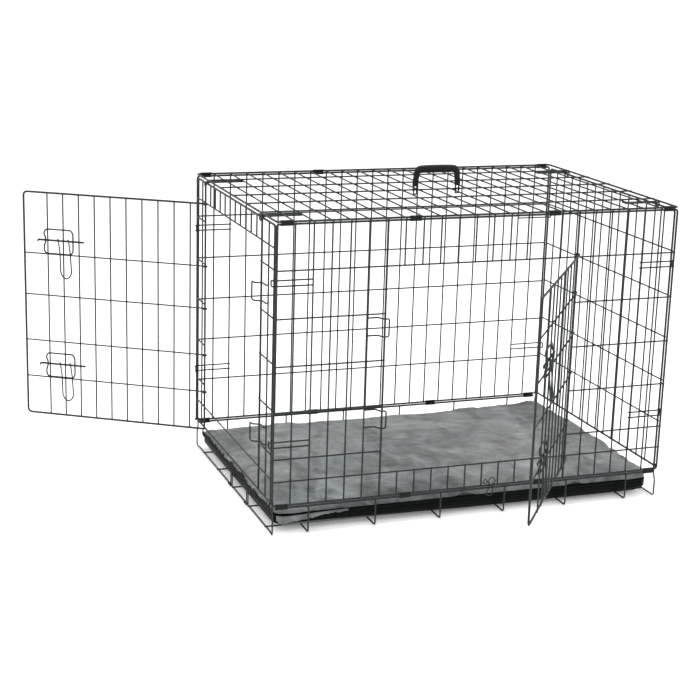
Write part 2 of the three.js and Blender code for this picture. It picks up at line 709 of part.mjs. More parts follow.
addClips();
addStops();
addFoldHook();
addTray();
addBed();
addNode('carry_handle', carryHandle(), blackPlastic);

export default crate;
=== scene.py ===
"""The looks of a folding wire dog crate: round coated wires, moulded tray and handle, plush bed.

Lengths are in millimetres while a piece is built and become metres when its mesh is made.
"""

import math
import random

import bmesh
import bpy
from mathutils import Matrix, Vector, noise


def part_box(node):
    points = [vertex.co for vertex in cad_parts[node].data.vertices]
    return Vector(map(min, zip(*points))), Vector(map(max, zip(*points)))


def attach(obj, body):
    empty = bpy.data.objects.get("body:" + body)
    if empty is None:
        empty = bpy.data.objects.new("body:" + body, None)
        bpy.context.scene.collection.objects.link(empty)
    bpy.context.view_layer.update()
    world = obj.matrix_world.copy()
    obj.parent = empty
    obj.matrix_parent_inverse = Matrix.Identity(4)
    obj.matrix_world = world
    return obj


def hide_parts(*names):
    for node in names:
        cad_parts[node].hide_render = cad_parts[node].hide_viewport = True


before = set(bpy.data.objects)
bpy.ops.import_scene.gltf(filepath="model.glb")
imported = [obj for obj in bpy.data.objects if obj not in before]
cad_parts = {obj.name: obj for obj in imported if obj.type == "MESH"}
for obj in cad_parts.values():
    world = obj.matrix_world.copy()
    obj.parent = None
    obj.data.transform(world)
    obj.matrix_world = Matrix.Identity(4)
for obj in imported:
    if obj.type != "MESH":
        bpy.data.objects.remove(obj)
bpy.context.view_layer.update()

MM = 0.001


def span(node):
    """Lowest and highest corner of a CAD node, in millimetres."""
    return [[value / MM for value in corner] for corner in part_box(node)]


# ---- sizes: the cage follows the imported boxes, the wire patterns are named here
FRAME_R = 2.5
GRID_R = 1.6
JAMB_R = 2.2
LAYER = 1.75
STUB_W = -1.1
CORNER_R = 8
OVERHANG = 2.0

# how close counts as touching, and the gap left beside a wire
NEAR = 1.0
AIR = 0.3

FRONT_LOW, FRONT_HIGH = span("front_panel")
ROOF_LOW, ROOF_HIGH = span("roof_panel")
END_LOW, END_HIGH = span("left_end_panel")
TRAY_LOW, TRAY_HIGH = span("tray")
BED_HIGH = span("bed")[1]
HANDLE_HIGH = span("carry_handle")[1]

HALF_X = FRONT_HIGH[0] - FRAME_R
HALF_Y = ROOF_HIGH[1] - FRAME_R
HEIGHT = (ROOF_LOW[2] + ROOF_HIGH[2]) / 2
LONG_TOP = FRONT_HIGH[2] - FRAME_R
LONG_BOTTOM = FRONT_LOW[2] + FRAME_R
COLUMNS = 23
ROOF_COLUMNS = 6
PITCH = 2 * HALF_X / COLUMNS
LONG_ROWS = [196, 312, 427, 543, 659]
SILL = 139
HEADER = 659
FRONT_JAMB = HALF_X - 6 * PITCH

END_HALF = 345
END_TOP = END_HIGH[2] - FRAME_R
END_BOTTOM = END_LOW[2] + FRAME_R
END_ROWS = [206, 318, 433, 544, 660]
END_SILL = 144
END_HEADER = 712
END_JAMBS = [-243, 272]
END_MIDS = [-294, 308.5]
END_COLUMNS = 15
END_STUBS = 10
TRUNNION_R = 2
TRUNNION_REACH = END_HIGH[1]

FLOOR_R = 1.7
FLOOR_HALF_X = 526
FOOT_Z = 4.8
FOOT_X = [88, 263, 438]
FOOT_Y = HALF_Y + 3.9
LEG_R = FLOOR_R - 0.1
FLOOR_Y = [-292, -146, 0, 146, 292]
UPSTAND_Z = LONG_BOTTOM - 6.5
EYE_Y = 350.6
EYE_R = 4.4

DOOR_FRAME_R = 2.4
DOOR_FRAME_W = 6.6
HINGE_EYE_R = 5.2
EYE_LEAD = 20
DOOR_UPRIGHT_W = HINGE_EYE_R + 2 * LAYER
DOORS = {
    "left": {
        "hinge": (-HALF_X, END_JAMBS[1]), "turn": -213, "outward": -1,
        "length": 525, "bottom": 76, "top": 707,
        "rows": [184, 289, 420, 537], "latch_rows": [184, 537],
        "uprights": 10, "pitch": 45.7,
    },
    "front": {
        "hinge": (FRONT_JAMB, -HALF_Y), "turn": 233, "outward": 1,
        "length": 514, "bottom": 133, "top": 665,
        "rows": [235, 361, 465, 569], "latch_rows": [235, 465],
        "uprights": 9, "pitch": PITCH,
    },
}

BOLT_R = 2.4
BOLT_W = 13.2
BOLT_RISE = 37
BOLT_TIP = 35
BOLT_TAIL = 172
BOLT_TURN = 4
GUIDE_R = 1.8
GUIDE_W = 12.4
GUIDE_BULGE_W = 17.8
GUIDE_NEAR = 55.6
GUIDE_FAR = 140
GUIDE_TALL = 68
PULL_R = 1.5
PULL_NEAR = 94.9
PULL_FAR = 125
PULL_DROP = 108
PULL_LEAN_W = 22
PULL_SHIFT = 5
KEEPER_W = 23
KEEPER_FOOT_W = JAMB_R + AIR + GRID_R
KEEPER_BELOW = {"left": 6, "front": 11}
KEEPER_TALL = 44

HOOK_R = 1.5
HOOK_SPREAD = 7
HOOK_START_X = HALF_X - 95
HOOK_X = HALF_X + 6.5
HOOK_Y = HALF_Y - LAYER - GRID_R - AIR - HOOK_R
HOOK_LEVELS = {"upper": 628, "lower": 231}
ROOF_HOOK_Y = 250
CLIP_X = [-506, -184.4, 184.4, 506]
CLIP_HALF = 15
CLIP_WALL = 1
STOP_R = 1.2
STOP_HALF = 6.5
STOP_TALL = 35
STOP_Y = {"rear": 20, "front": -126}
FOLD_HOOK_X = 51
FOLD_HOOK_R = 0.95
FOLD_HOOK_W = FRAME_R + 1.8

# ---- the finish: sides of wires and weld beads, depth of coating, and how far wires stray
SIDES = 12
BEAD_RINGS = 4
BEAD_SIDES = 8
THIN_COAT = 0.4
FRAME_COAT = 0.12
WAVE = 0.22
DOOR_WAVE = 0.1
END_TAPER = 0.72

# ---- camera, at the viewpoint of the picture to match
EYE = Vector((-1.63524, -3.83271, 1.45559))
YAW, PITCH_ANGLE, ROLL = -0.35648, -0.26287, 0.03021
LENS = 82.56


def put(name, data):
    """A new object in the scene."""
    item = bpy.data.objects.new(name, data)
    bpy.context.scene.collection.objects.link(item)
    return item


def add_camera():
    forward = Vector(
        (
            -math.sin(YAW) * math.cos(PITCH_ANGLE),
            math.cos(YAW) * math.cos(PITCH_ANGLE),
            math.sin(PITCH_ANGLE),
        )
    )
    level = Vector((math.cos(YAW), math.sin(YAW), 0))
    upward = level.cross(forward)
    right = math.cos(ROLL) * level + math.sin(ROLL) * upward
    up = math.cos(ROLL) * upward - math.sin(ROLL) * level
    data = bpy.data.cameras.new("camera")
    data.lens = LENS
    data.sensor_width = 36
    data.clip_end = 100
    camera = put("camera", data)
    turn = Matrix((right, up, -forward)).transposed().to_4x4()
    camera.matrix_world = Matrix.Translation(EYE) @ turn
    bpy.context.scene.camera = camera


add_camera()


# ---- mesh building
class Shape:
    """Gathers swept wires and beads, in millimetres, and turns them into one mesh object."""

    def __init__(self):
        self.points = []
        self.faces = []

    def loop(self, points):
        start = len(self.points)
        self.points.extend(points)
        return list(range(start, start + len(points)))

    def bridge(self, first, second):
        count = len(first)
        for i in range(count):
            j = (i + 1) % count
            self.faces.append((first[i], first[j], second[j], second[i]))

    def tube(self, rings):
        loops = [self.loop(ring) for ring in rings]
        for first, second in zip(loops, loops[1:]):
            self.bridge(first, second)
        return loops

    def skin(self, rings, closed=False):
        """Joins rings of points in turn and closes the two ends."""
        loops = self.tube(rings)
        if closed:
            self.bridge(loops[-1], loops[0])
        else:
            self.faces.append(tuple(reversed(loops[0])))
            self.faces.append(tuple(loops[-1]))

    def sweep(self, line, section, across=None, closed=False, sizes=None, ease=0.3):
        """Carries a closed section of (across, over) offsets along a line of points."""
        line = [Vector(point) for point in line]
        last = len(line) - 1
        headings = []
        for i in range(last + 1):
            if closed:
                back, ahead = line[i - 1], line[(i + 1) % (last + 1)]
            else:
                back, ahead = line[max(i - 1, 0)], line[min(i + 1, last)]
            headings.append((ahead - back).normalized())
        sizes = sizes or [1] * (last + 1)
        stations = list(zip(line, headings, sizes))
        if not closed:
            reach = ease * max(max(abs(a), abs(b)) for a, b in section)
            head, tail = headings[0], headings[-1]
            stations[0] = (line[0] + head * reach, head, sizes[0])
            stations[-1] = (line[-1] - tail * reach, tail, sizes[-1])
            stations.insert(0, (line[0], head, sizes[0] * END_TAPER))
            stations.append((line[-1], tail, sizes[-1] * END_TAPER))
        if across is None:
            if closed:
                middle = sum(line, Vector()) / len(line)
                spokes = [point - middle for point in line]
                turns = (spokes[i - 1].cross(spokes[i]) for i in range(len(line)))
                across = sum(turns, Vector())
            else:
                across = stations[0][1].orthogonal()
        across = Vector(across)
        rings = []
        for centre, heading, size in stations:
            across = (across - heading * across.dot(heading)).normalized()
            over = heading.cross(across)
            rings.append([centre + (across * a + over * b) * size for a, b in section])
        self.skin(rings, closed)

    def wire(self, line, radius, **settings):
        coat_depth = THIN_COAT if radius < FRAME_R else FRAME_COAT
        self.sweep(line, circle(radius + coat_depth, SIDES), **settings)

    def bead(self, centre, axes):
        """An ellipsoid of weld metal; axes are its three half-axes as vectors."""
        u, v, w = axes
        around = circle(1, BEAD_SIDES)
        rings = []
        for i in range(1, BEAD_RINGS):
            turn = math.pi * i / BEAD_RINGS
            lift, wide = math.cos(turn), math.sin(turn)
            rings.append([centre + w * lift + u * wide * a + v * wide * b for a, b in around])
        loops = self.tube(rings)
        for tip, ring in ((centre + w, loops[0]), (centre - w, loops[-1])):
            top = self.loop([tip])[0]
            for i in range(BEAD_SIDES):
                self.faces.append((top, ring[i], ring[(i + 1) % BEAD_SIDES]))

    def make(self, name, material, body, *nodes, slot="wire_coat"):
        """One mesh object that rides on a body and stands in for CAD nodes."""
        mesh = bpy.data.meshes.new(name)
        points = [(p[0] * MM, p[1] * MM, p[2] * MM) for p in self.points]
        mesh.from_pydata(points, [], self.faces)
        built = bmesh.new()
        built.from_mesh(mesh)
        bmesh.ops.recalc_face_normals(built, faces=built.faces)
        built.to_mesh(mesh)
        built.free()
        mesh.materials.append(material)
        mesh.polygons.foreach_set("use_smooth", [True] * len(mesh.polygons))
        mesh.set_sharp_from_angle(angle=math.radians(50))
        piece = put(name, mesh)
        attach(piece, body)
        if nodes:
            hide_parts(*nodes)
        return piece


def circle(radius, sides):
    turns = [2 * math.pi * i / sides for i in range(sides)]
    return [(radius * math.cos(turn), radius * math.sin(turn)) for turn in turns]


def oblong(half_a, half_b, power=2.6, sides=24):
    """A rounded section, squarer as the power grows."""

    def squared(half, value):
        return half * math.copysign(abs(value) ** (2 / power), value)

    return [(squared(half_a, a), squared(half_b, b)) for a, b in circle(1, sides)]


def bend(points, radius, steps=6, closed=False):
    """Rounds the corners of a line of points."""
    points = [Vector(point) for point in points]
    count = len(points)
    inner = range(count) if closed else range(1, count - 1)
    line = [] if closed else [points[0]]
    for i in inner:
        corner = points[i]
        back, ahead = points[i - 1] - corner, points[(i + 1) % count] - corner
        reach = min(radius, back.length * 0.49, ahead.length * 0.49)
        start = corner + back.normalized() * reach
        end = corner + ahead.normalized() * reach
        for k in range(steps + 1):
            t = k / steps
            line.append(start * (1 - t) ** 2 + corner * 2 * t * (1 - t) + end * t * t)
    if not closed:
        line.append(points[-1])
    return line


def flow(points, steps):
    """A smooth line through the points."""
    points = [Vector(point) for point in points]
    padded = [2 * points[0] - points[1], *points, 2 * points[-1] - points[-2]]
    line = []
    for i in range(1, len(padded) - 2):
        a, b, c, d = padded[i - 1 : i + 3]
        for k in range(steps):
            t = k / steps
            square, cube = 2 * a - 5 * b + 4 * c - d, 3 * b - a - 3 * c + d
            line.append(0.5 * (2 * b + (c - a) * t + square * t**2 + cube * t**3))
    line.append(points[-1])
    return line


def arc(centre, first, second, radius, start, end, steps=12):
    """Points about a centre, from one angle to another in the plane of two directions."""
    centre, first, second = Vector(centre), Vector(first), Vector(second)
    turns = [math.radians(start + (end - start) * i / steps) for i in range(steps + 1)]
    return [centre + (first * math.cos(turn) + second * math.sin(turn)) * radius for turn in turns]


def clamp(value):
    return min(max(value, 0), 1)


def rough(x, y, z):
    return noise.noise(Vector((x, y, z)))


# ---- wire panels
def bow(rng, amount):
    """How far one wire strays sideways, from 0 to 1 along it."""
    first, second = (rng.uniform(-amount, amount) for _ in range(2))
    return lambda t: (first * math.sin(math.pi * t) + second * 0.4 * math.sin(2 * math.pi * t))


def directions(place):
    """One step along, up and out of a panel's plane, as vectors of the frame."""
    origin = Vector(place(0, 0, 0))
    return [Vector(place(*step)) - origin for step in ((1, 0, 0), (0, 1, 0), (0, 0, 1))]


class Grid(Shape):
    """Welded mesh: rows on one side, uprights on the other, and a bead where they cross.

    place(u, v, w) gives the point at u along, v up and w out of the panel's plane.
    """

    def __init__(self, place, seed, row_w=LAYER, wave=WAVE):
        super().__init__()
        self.place = place
        self.row_w = row_w
        self.wave = wave
        self.rows = []
        self.uprights = []
        self.rng = random.Random(seed)
        self.axes = directions(place)

    def row(self, v, start, end, straight=False, before=(), past=(OVERHANG, OVERHANG)):
        stray = bow(self.rng, 0 if straight else self.wave)
        self.rows.append((v, start, end, stray))
        parts = [i / 12 for i in range(13)]
        line = [self.place(start + (end - start) * t, v + stray(t), self.row_w) for t in parts]
        if past[0]:
            line.insert(0, self.place(start - past[0], v, self.row_w))
        if past[1]:
            line.append(self.place(end + past[1], v, self.row_w))
        self.wire([*before, *line], GRID_R)

    def upright(self, u, start, end, w=-LAYER, radius=GRID_R, past=OVERHANG):
        stray = bow(self.rng, self.wave if radius == GRID_R else 0)
        self.uprights.append((u, start, end, stray, w, radius))
        line = [self.place(u, start - past, w)] if past else []
        for i in range(9):
            t = i / 8
            line.append(self.place(u + stray(t), start + (end - start) * t, w))
        if past:
            line.append(self.place(u, end + past, w))
        self.wire(line, radius)

    def weld_at(self, u, v, w, wide, deep=1.3):
        across, up, out = self.axes
        centre = Vector(self.place(u, v, w))
        size = self.rng.uniform(0.92, 1.1)
        self.bead(centre, (across * wide * size, up * wide * size, out * deep))

    def weld_crossings(self):
        for v, row_start, row_end, row_stray in self.rows:
            for u, low, high, stray, w, radius in self.uprights:
                if not row_start - NEAR <= u <= row_end + NEAR:
                    continue
                if not low - NEAR <= v <= high + NEAR:
                    continue
                along = (u - row_start) / (row_end - row_start)
                up = (v - low) / (high - low)
                middle = (self.row_w + w) / 2
                self.weld_at(u + stray(up), v + row_stray(along), middle, radius + 0.6)

    def weld_ends(self, u_edges, v_edges):
        """Beads where rows and uprights meet the frame wires."""
        for v, start, end, _ in self.rows:
            for u in (start, end):
                if any(abs(u - edge) < NEAR for edge in u_edges):
                    self.weld_at(u, v, self.row_w * 0.6, 2.6, deep=1.6)
        for u, low, high, _, w, _ in self.uprights:
            for v in (low, high):
                if any(abs(v - edge) < NEAR for edge in v_edges):
                    self.weld_at(u, v, w * 0.6, 2.6, deep=1.6)


class Panel(Grid):
    """Welded mesh inside a rectangular frame wire that spans u and v."""

    def __init__(self, place, seed, u, v):
        super().__init__(place, seed)
        self.edges = u, v
        corners = [(u[0], v[0]), (u[1], v[0]), (u[1], v[1]), (u[0], v[1])]
        loop = bend([place(a, b, 0) for a, b in corners], CORNER_R, closed=True)
        self.wire(loop, FRAME_R, closed=True)

    def weld(self):
        self.weld_crossings()
        self.weld_ends(*self.edges)


def place_front(u, v, w):
    return Vector((u, -HALF_Y - w, v))


def place_back(u, v, w):
    return Vector((u, HALF_Y + w, v))


def place_roof(u, v, w):
    return Vector((u, v, HEIGHT + w))


def place_left(u, v, w):
    return Vector((-HALF_X - w, u, v))


def place_right(u, v, w):
    return Vector((HALF_X + w, u, v))


COLUMN_PLACES = [-HALF_X + (i + 1) * PITCH for i in range(COLUMNS - 1)]
LONG_SPAN = (-HALF_X, HALF_X)
LONG_RISE = (LONG_BOTTOM, LONG_TOP)
END_SPAN = (-END_HALF, END_HALF)
END_RISE = (END_BOTTOM, END_TOP)


def front_panel(material):
    grid = Panel(place_front, 11, LONG_SPAN, LONG_RISE)
    for v in (SILL, HEADER):
        grid.row(v, *LONG_SPAN)
    for v in LONG_ROWS:
        if v != HEADER:
            grid.row(v, -HALF_X, -FRONT_JAMB)
            grid.row(v, FRONT_JAMB, HALF_X)
    for u in COLUMN_PLACES:
        if abs(abs(u) - FRONT_JAMB) < NEAR:
            grid.upright(u, *LONG_RISE, 0, JAMB_R, past=0)
        elif abs(u) < FRONT_JAMB:
            grid.upright(u, LONG_BOTTOM, SILL, STUB_W)
            grid.upright(u, HEADER, LONG_TOP, STUB_W)
        else:
            grid.upright(u, *LONG_RISE)
    grid.weld()
    grid.make("front_panel_wires", material, "frame", "front_panel")


def back_panel(material):
    grid = Panel(place_back, 12, LONG_SPAN, LONG_RISE)
    for v in LONG_ROWS:
        grid.row(v, *LONG_SPAN)
    for u in COLUMN_PLACES:
        grid.upright(u, *LONG_RISE)
    grid.weld()
    grid.make("back_panel_wires", material, "frame", "back_panel")


def roof_panel(material):
    grid = Panel(place_roof, 13, LONG_SPAN, (-HALF_Y, HALF_Y))
    for i in range(1, ROOF_COLUMNS):
        v = -HALF_Y + i * HALF_Y / (ROOF_COLUMNS / 2)
        grid.row(v, *LONG_SPAN, straight=abs(v) < NEAR)
    for u in COLUMN_PLACES:
        grid.upright(u, -HALF_Y, HALF_Y)
    grid.weld()
    grid.make("roof_panel_wires", material, "frame", "roof_panel")


def add_trunnions(grid):
    for side in (-1, 1):
        inner = grid.place(side * (END_HALF - 12), END_BOTTOM, 0)
        outer = grid.place(side * TRUNNION_REACH, END_BOTTOM, 0)
        grid.wire([inner, outer], TRUNNION_R)


def left_end_panel(material):
    grid = Panel(place_left, 14, END_SPAN, END_RISE)
    for v in (END_SILL, END_HEADER):
        grid.row(v, *END_SPAN)
    front_jamb, back_jamb = END_JAMBS
    for v in END_ROWS:
        grid.row(v, -END_HALF, front_jamb)
        grid.row(v, back_jamb, END_HALF)
    for u in END_MIDS:
        grid.upright(u, *END_RISE)
    for u in END_JAMBS:
        grid.upright(u, *END_RISE, 0, JAMB_R, past=0)
    for i in range(1, END_STUBS + 1):
        u = front_jamb + i * (back_jamb - front_jamb) / (END_STUBS + 1)
        grid.upright(u, END_HEADER, END_TOP, STUB_W)
    grid.weld()
    add_trunnions(grid)
    grid.make("left_end_wires", material, "frame", "left_end_panel")


def right_end_panel(material):
    grid = Panel(place_right, 15, END_SPAN, END_RISE)
    for v in END_ROWS:
        grid.row(v, *END_SPAN)
    for i in range(1, END_COLUMNS):
        grid.upright(-END_HALF + i * 2 * END_HALF / END_COLUMNS, *END_RISE)
    grid.weld()
    add_trunnions(grid)
    grid.make("right_end_wires", material, "right_end", "right_end_panel")


def floor_panel(material):
    shape = Shape()
    reach = FLOOR_HALF_X + FLOOR_R
    flat = (Vector((2.3, 0, 0)), Vector((0, 2.3, 0)), Vector((0, 0, 1.2)))
    for y in FLOOR_Y:
        shape.wire([(-reach, y, FLOOR_R), (reach, y, FLOOR_R)], FLOOR_R)
    for x in [side * value for value in FOOT_X for side in (-1, 1)]:
        high, low = UPSTAND_Z + 1, FOOT_Z
        points = [(x, -FOOT_Y, high), (x, -FOOT_Y, low), (x, FOOT_Y, low), (x, FOOT_Y, high)]
        shape.wire(bend(points, CORNER_R), FLOOR_R)
        for y in FLOOR_Y:
            shape.bead(Vector((x, y, (FLOOR_R + FOOT_Z) / 2)), flat)
        for side in (-1, 1):
            centre = Vector((x, side * (HALF_Y + 2.6), UPSTAND_Z))
            shape.bead(centre, [axis * 1.15 for axis in flat])
    for side in (-1, 1):
        ends = [(end * (FLOOR_HALF_X - 2), side * HALF_Y, UPSTAND_Z) for end in (-1, 1)]
        shape.wire(ends, FRAME_R)
    for side in (-1, 1):
        centres = [(side * HALF_X, end * EYE_Y, END_BOTTOM) for end in (-1, 1)]
        eyes = [arc(c, (-side, 0, 0), (0, 0, -1), EYE_R, -225, 60, 16) for c in centres]
        leg = [
            (FLOOR_HALF_X + 0.5, EYE_Y + 0.5, END_BOTTOM - 20),
            (FLOOR_HALF_X + 2, HALF_Y - 1, 48),
            (FLOOR_HALF_X + 2, HALF_Y - 1, FOOT_Z - 1.4),
            (FLOOR_HALF_X, HALF_Y - 24, FOOT_Z),
        ]
        corners = [(side * x, -y, z) for x, y, z in leg] + [(side * x, y, z) for x, y, z in reversed(leg)]
        middle = bend([eyes[0][-1], *corners, eyes[1][-1]], CORNER_R)
        line = [*eyes[0][:-1], *middle, *reversed(eyes[1][:-1])]
        shape.wire(line, LEG_R)
        for y in FLOOR_Y:
            centre = Vector((side * FLOOR_HALF_X, y, (FLOOR_R + FOOT_Z) / 2))
            shape.bead(centre, flat)
    shape.make("floor_wires", material, "frame", "floor_panel")


# ---- doors and latches
def door_place(door):
    """The place of s along the door from its hinge, z up and w out of it."""
    angle = math.radians(door["turn"])
    along = Vector((math.cos(angle), math.sin(angle), 0))
    out = Vector((-math.sin(angle), math.cos(angle), 0)) * door["outward"]
    hinge = Vector((*door["hinge"], 0))
    return lambda s, z, w: hinge + along * s + out * w + Vector((0, 0, z))


def hinge_eye(at, z, radius):
    """A line that starts behind the jamb and comes round it to the door's plane."""
    turns = [math.radians(285 - 285 * i / 16) for i in range(17)]
    return [at(-radius * math.sin(turn), z, radius * math.cos(turn)) for turn in turns]


def door_panel(name, door, seed, material):
    at = door_place(door)
    grid = Grid(at, seed, HINGE_EYE_R, DOOR_WAVE)
    length, bottom, top = door["length"], door["bottom"], door["top"]
    edge_eye = DOOR_FRAME_R + JAMB_R + 0.6
    reaches_jamb = bottom > END_BOTTOM
    low_eye = hinge_eye(at, bottom, edge_eye) if reaches_jamb else []
    high_eye = hinge_eye(at, top, edge_eye)
    corners = [
        at(EYE_LEAD if reaches_jamb else 1, bottom, DOOR_FRAME_W),
        at(length, bottom, DOOR_FRAME_W),
        at(length, top, DOOR_FRAME_W),
        at(EYE_LEAD, top, DOOR_FRAME_W),
    ]
    frame_line = [*low_eye, *bend(corners, CORNER_R * 1.5), *reversed(high_eye)]
    grid.wire(frame_line, DOOR_FRAME_R)
    for z in door["rows"]:
        ring = hinge_eye(at, z, HINGE_EYE_R)[:-1]
        grid.row(z, 0, length, before=ring, past=(0, OVERHANG))
    for i in range(door["uprights"]):
        grid.upright((i + 1) * door["pitch"], bottom, top, DOOR_UPRIGHT_W)
    grid.weld_crossings()
    for i in range(door["uprights"]):
        for z in (bottom, top):
            middle = (DOOR_FRAME_W + DOOR_UPRIGHT_W) / 2
            grid.weld_at((i + 1) * door["pitch"], z, middle, 2.5)
    for z in door["rows"]:
        grid.weld_at(length, z, (DOOR_FRAME_W + HINGE_EYE_R) / 2, 2.6)
    grid.make(f"{name}_door_wires", material, f"{name}_door", f"{name}_door")


def latch_place(door, z):
    """The place of a point back from the door's free edge, up from z and w out of the door."""
    place = door_place(door)
    return lambda back, rise, w: place(door["length"] - back, z + rise, w)


def latch_guide(name, door, z, body, material):
    at = latch_place(door, z)

    def side(back, inward):
        return [
            at(back + 3 * inward, 0, GUIDE_W), at(back, 8, GUIDE_W), at(back, 22, GUIDE_W + 1),
            at(back + inward, 30, GUIDE_BULGE_W), at(back + inward, 44, GUIDE_BULGE_W),
            at(back, 52, GUIDE_W + 1), at(back, GUIDE_TALL - 9, GUIDE_W),
            at(back + 3 * inward, GUIDE_TALL, GUIDE_W),
        ]

    shape = Shape()
    loop = [*side(GUIDE_NEAR, 2), *reversed(side(GUIDE_FAR, -2))]
    shape.wire(bend(loop, 5, 4, closed=True), GUIDE_R, closed=True)
    shape.make(f"{name}_guide_wire", material, body, f"{name}_latch_guide")


def latch_bolt(name, door, z, body, material):
    at = latch_place(door, z + BOLT_RISE)
    turned = [(BOLT_TIP + 1.5, -BOLT_TURN - 2), (BOLT_TIP + 2.5, 0), (BOLT_TAIL, 0)]
    line = bend([at(back, rise, BOLT_W) for back, rise in turned], 4)
    shape = Shape()
    sizes = [END_TAPER, 0.8, 0.86, 0.92] + [1] * (len(line) - 4)
    shape.wire(line, BOLT_R, sizes=sizes)
    shape.make(f"{name}_bolt_wire", material, body, f"{name}_latch_bolt")


def latch_pull(name, door, z, body, material):
    at = latch_place(door, z + BOLT_RISE)
    ring = BOLT_R + 0.4 + PULL_R
    rest_w = GUIDE_W + GUIDE_R + 0.8 + PULL_R

    def leg(back):
        over = []
        for i in range(9):
            turn = math.radians(88 - 88 * i / 8)
            over.append(at(back, ring * math.sin(turn), BOLT_W + ring * math.cos(turn)))
        return [*over, at(back + PULL_SHIFT, -34, rest_w)]

    def low(back, rise):
        return at(back + PULL_SHIFT, rise, PULL_LEAN_W)

    def arm(back, inward):
        flare = low(back - inward, 16 - PULL_DROP)
        return [*leg(back), flare, low(back + 6 * inward, 4 - PULL_DROP)]

    first, last = arm(PULL_NEAR, 1), arm(PULL_FAR, -1)
    foot = low((PULL_NEAR + PULL_FAR) / 2, -PULL_DROP)
    shape = Shape()
    shape.wire(bend([*first, foot, *reversed(last)], 9, 4), PULL_R)
    shape.make(f"{name}_pull_wire", material, body, f"{name}_latch_pull")


def keeper(name, place, foot, knee, head, low, material):
    high = low + KEEPER_TALL
    step = math.copysign(9, head - foot)
    leg = [(foot, KEEPER_FOOT_W), (knee, KEEPER_FOOT_W), (knee + step, KEEPER_W), (head, KEEPER_W)]
    points = [place(u, low, w) for u, w in leg]
    points += [place(u, high, w) for u, w in reversed(leg)]
    shape = Shape()
    shape.wire(bend(points, 5, 5), GRID_R)
    along, up, out = directions(place)
    for v in (low, high):
        centre = Vector(place(foot, v, (KEEPER_FOOT_W - LAYER) / 2))
        shape.bead(centre, (along * 2.2, up * 2.2, out * 2.0))
    shape.make(f"{name}_wire", material, "frame", name)


def add_doors(material):
    for seed, (name, door) in enumerate(DOORS.items()):
        door_panel(name, door, 21 + seed, material)
        for label, z in zip(("lower", "upper"), door["latch_rows"]):
            part = f"{name}_{label}"
            latch_guide(part, door, z, f"{name}_door", material)
            latch_bolt(part, door, z, f"{part}_bolt", material)
            latch_pull(part, door, z, f"{part}_pull", material)
            low = z + BOLT_RISE - KEEPER_BELOW[name]
            if name == "left":
                jamb = END_JAMBS[0]
                spots = (END_MIDS[0], jamb - 24, jamb + 2)
                keeper(f"{part}_keeper", place_left, *spots, low, material)
            else:
                spots = (-FRONT_JAMB - PITCH, -FRONT_JAMB - 20, -FRONT_JAMB + 2)
                keeper(f"{part}_keeper", place_front, *spots, low, material)


# ---- hooks, clips, stops
def hairpin(name, points, spread, material):
    spread = Vector(spread)
    line = [Vector(point) + spread for point in points]
    line += [Vector(point) - spread for point in reversed(points)]
    shape = Shape()
    shape.wire(bend(line, 5, 5), HOOK_R)
    shape.make(f"{name}_wire", material, "frame", name)


def add_corner_hooks(material):
    roof_z = HEIGHT - LAYER - GRID_R - AIR - HOOK_R
    for side_name, side in (("front", -1), ("back", 1)):
        for end_name, end in (("left", -1), ("right", 1)):
            start_x, tip_x = end * HOOK_START_X, end * HOOK_X
            y, tip_y = side * HOOK_Y, side * (END_HALF - 4)
            for level, z in HOOK_LEVELS.items():
                points = [(start_x, y, z), (tip_x, y, z), (tip_x, tip_y, z)]
                name = f"{side_name}_{end_name}_{level}_hook"
                hairpin(name, points, (0, 0, HOOK_SPREAD), material)
            y = side * ROOF_HOOK_Y
            points = [(start_x, y, roof_z), (tip_x, y, roof_z), (tip_x, y, END_TOP - 5)]
            hairpin(f"roof_{end_name}_{side_name}_hook", points, (0, HOOK_SPREAD, 0), material)


def clip(name, x, side, middle_z, apart, material):
    """A folded strip of sheet steel, open on its inner side, pinched near its ends."""
    a = FRAME_R + AIR + CLIP_WALL / 2
    b = apart / 2 + FRAME_R + AIR + CLIP_WALL / 2
    lip = b * 0.35
    profile = [(-a, -lip), (-a, -b), (a, -b), (a, b), (-a, b), (-a, lip)]
    line = bend([(x, side * (HALF_Y + u), middle_z + v) for u, v in profile], 1.8, 5)
    half, wall, ease = CLIP_HALF, CLIP_WALL / 2, 0.3
    under = [(half, -wall + ease), (half - ease, -wall), (6, -wall * 0.82)]
    under = [*[(-a, b) for a, b in under], *reversed(under)]
    section = [*under, *[(-a, -b) for a, b in under]]
    shape = Shape()
    shape.sweep(line, section, across=(1, 0, 0), ease=0.01)
    shape.make(f"{name}_strip", material, "frame", name, slot="clip_steel")


def add_clips(material):
    for side_name, side in (("front", -1), ("back", 1)):
        for i, x in enumerate(CLIP_X):
            top = ((HEIGHT + LONG_TOP) / 2, HEIGHT - LONG_TOP)
            low = ((LONG_BOTTOM + UPSTAND_Z) / 2, LONG_BOTTOM - UPSTAND_Z)
            clip(f"{side_name}_top_clip_{i + 1}", x, side, *top, material)
            clip(f"{side_name}_bottom_clip_{i + 1}", x, side, *low, material)


def add_stops(material):
    ring = LEG_R + 0.4 + STOP_R
    for name, y in STOP_Y.items():

        def leg(side):
            centre = (-FLOOR_HALF_X, y + side * STOP_HALF, FOOT_Z)
            round_wire = arc(centre, (1, 0, 0), (0, 0, 1), ring, -235, 0, 14)
            top = Vector((-FLOOR_HALF_X + ring, y + side * STOP_HALF, STOP_TALL))
            return [*round_wire, top]

        first, last = leg(-1), leg(1)
        over = bend([first[-2], first[-1], last[-1], last[-2]], 6)
        shape = Shape()
        shape.wire([*first[:-2], *over, *reversed(last[:-2])], STOP_R)
        shape.make(f"tray_stop_{name}_wire", material, f"{name}_stop", f"tray_stop_{name}")


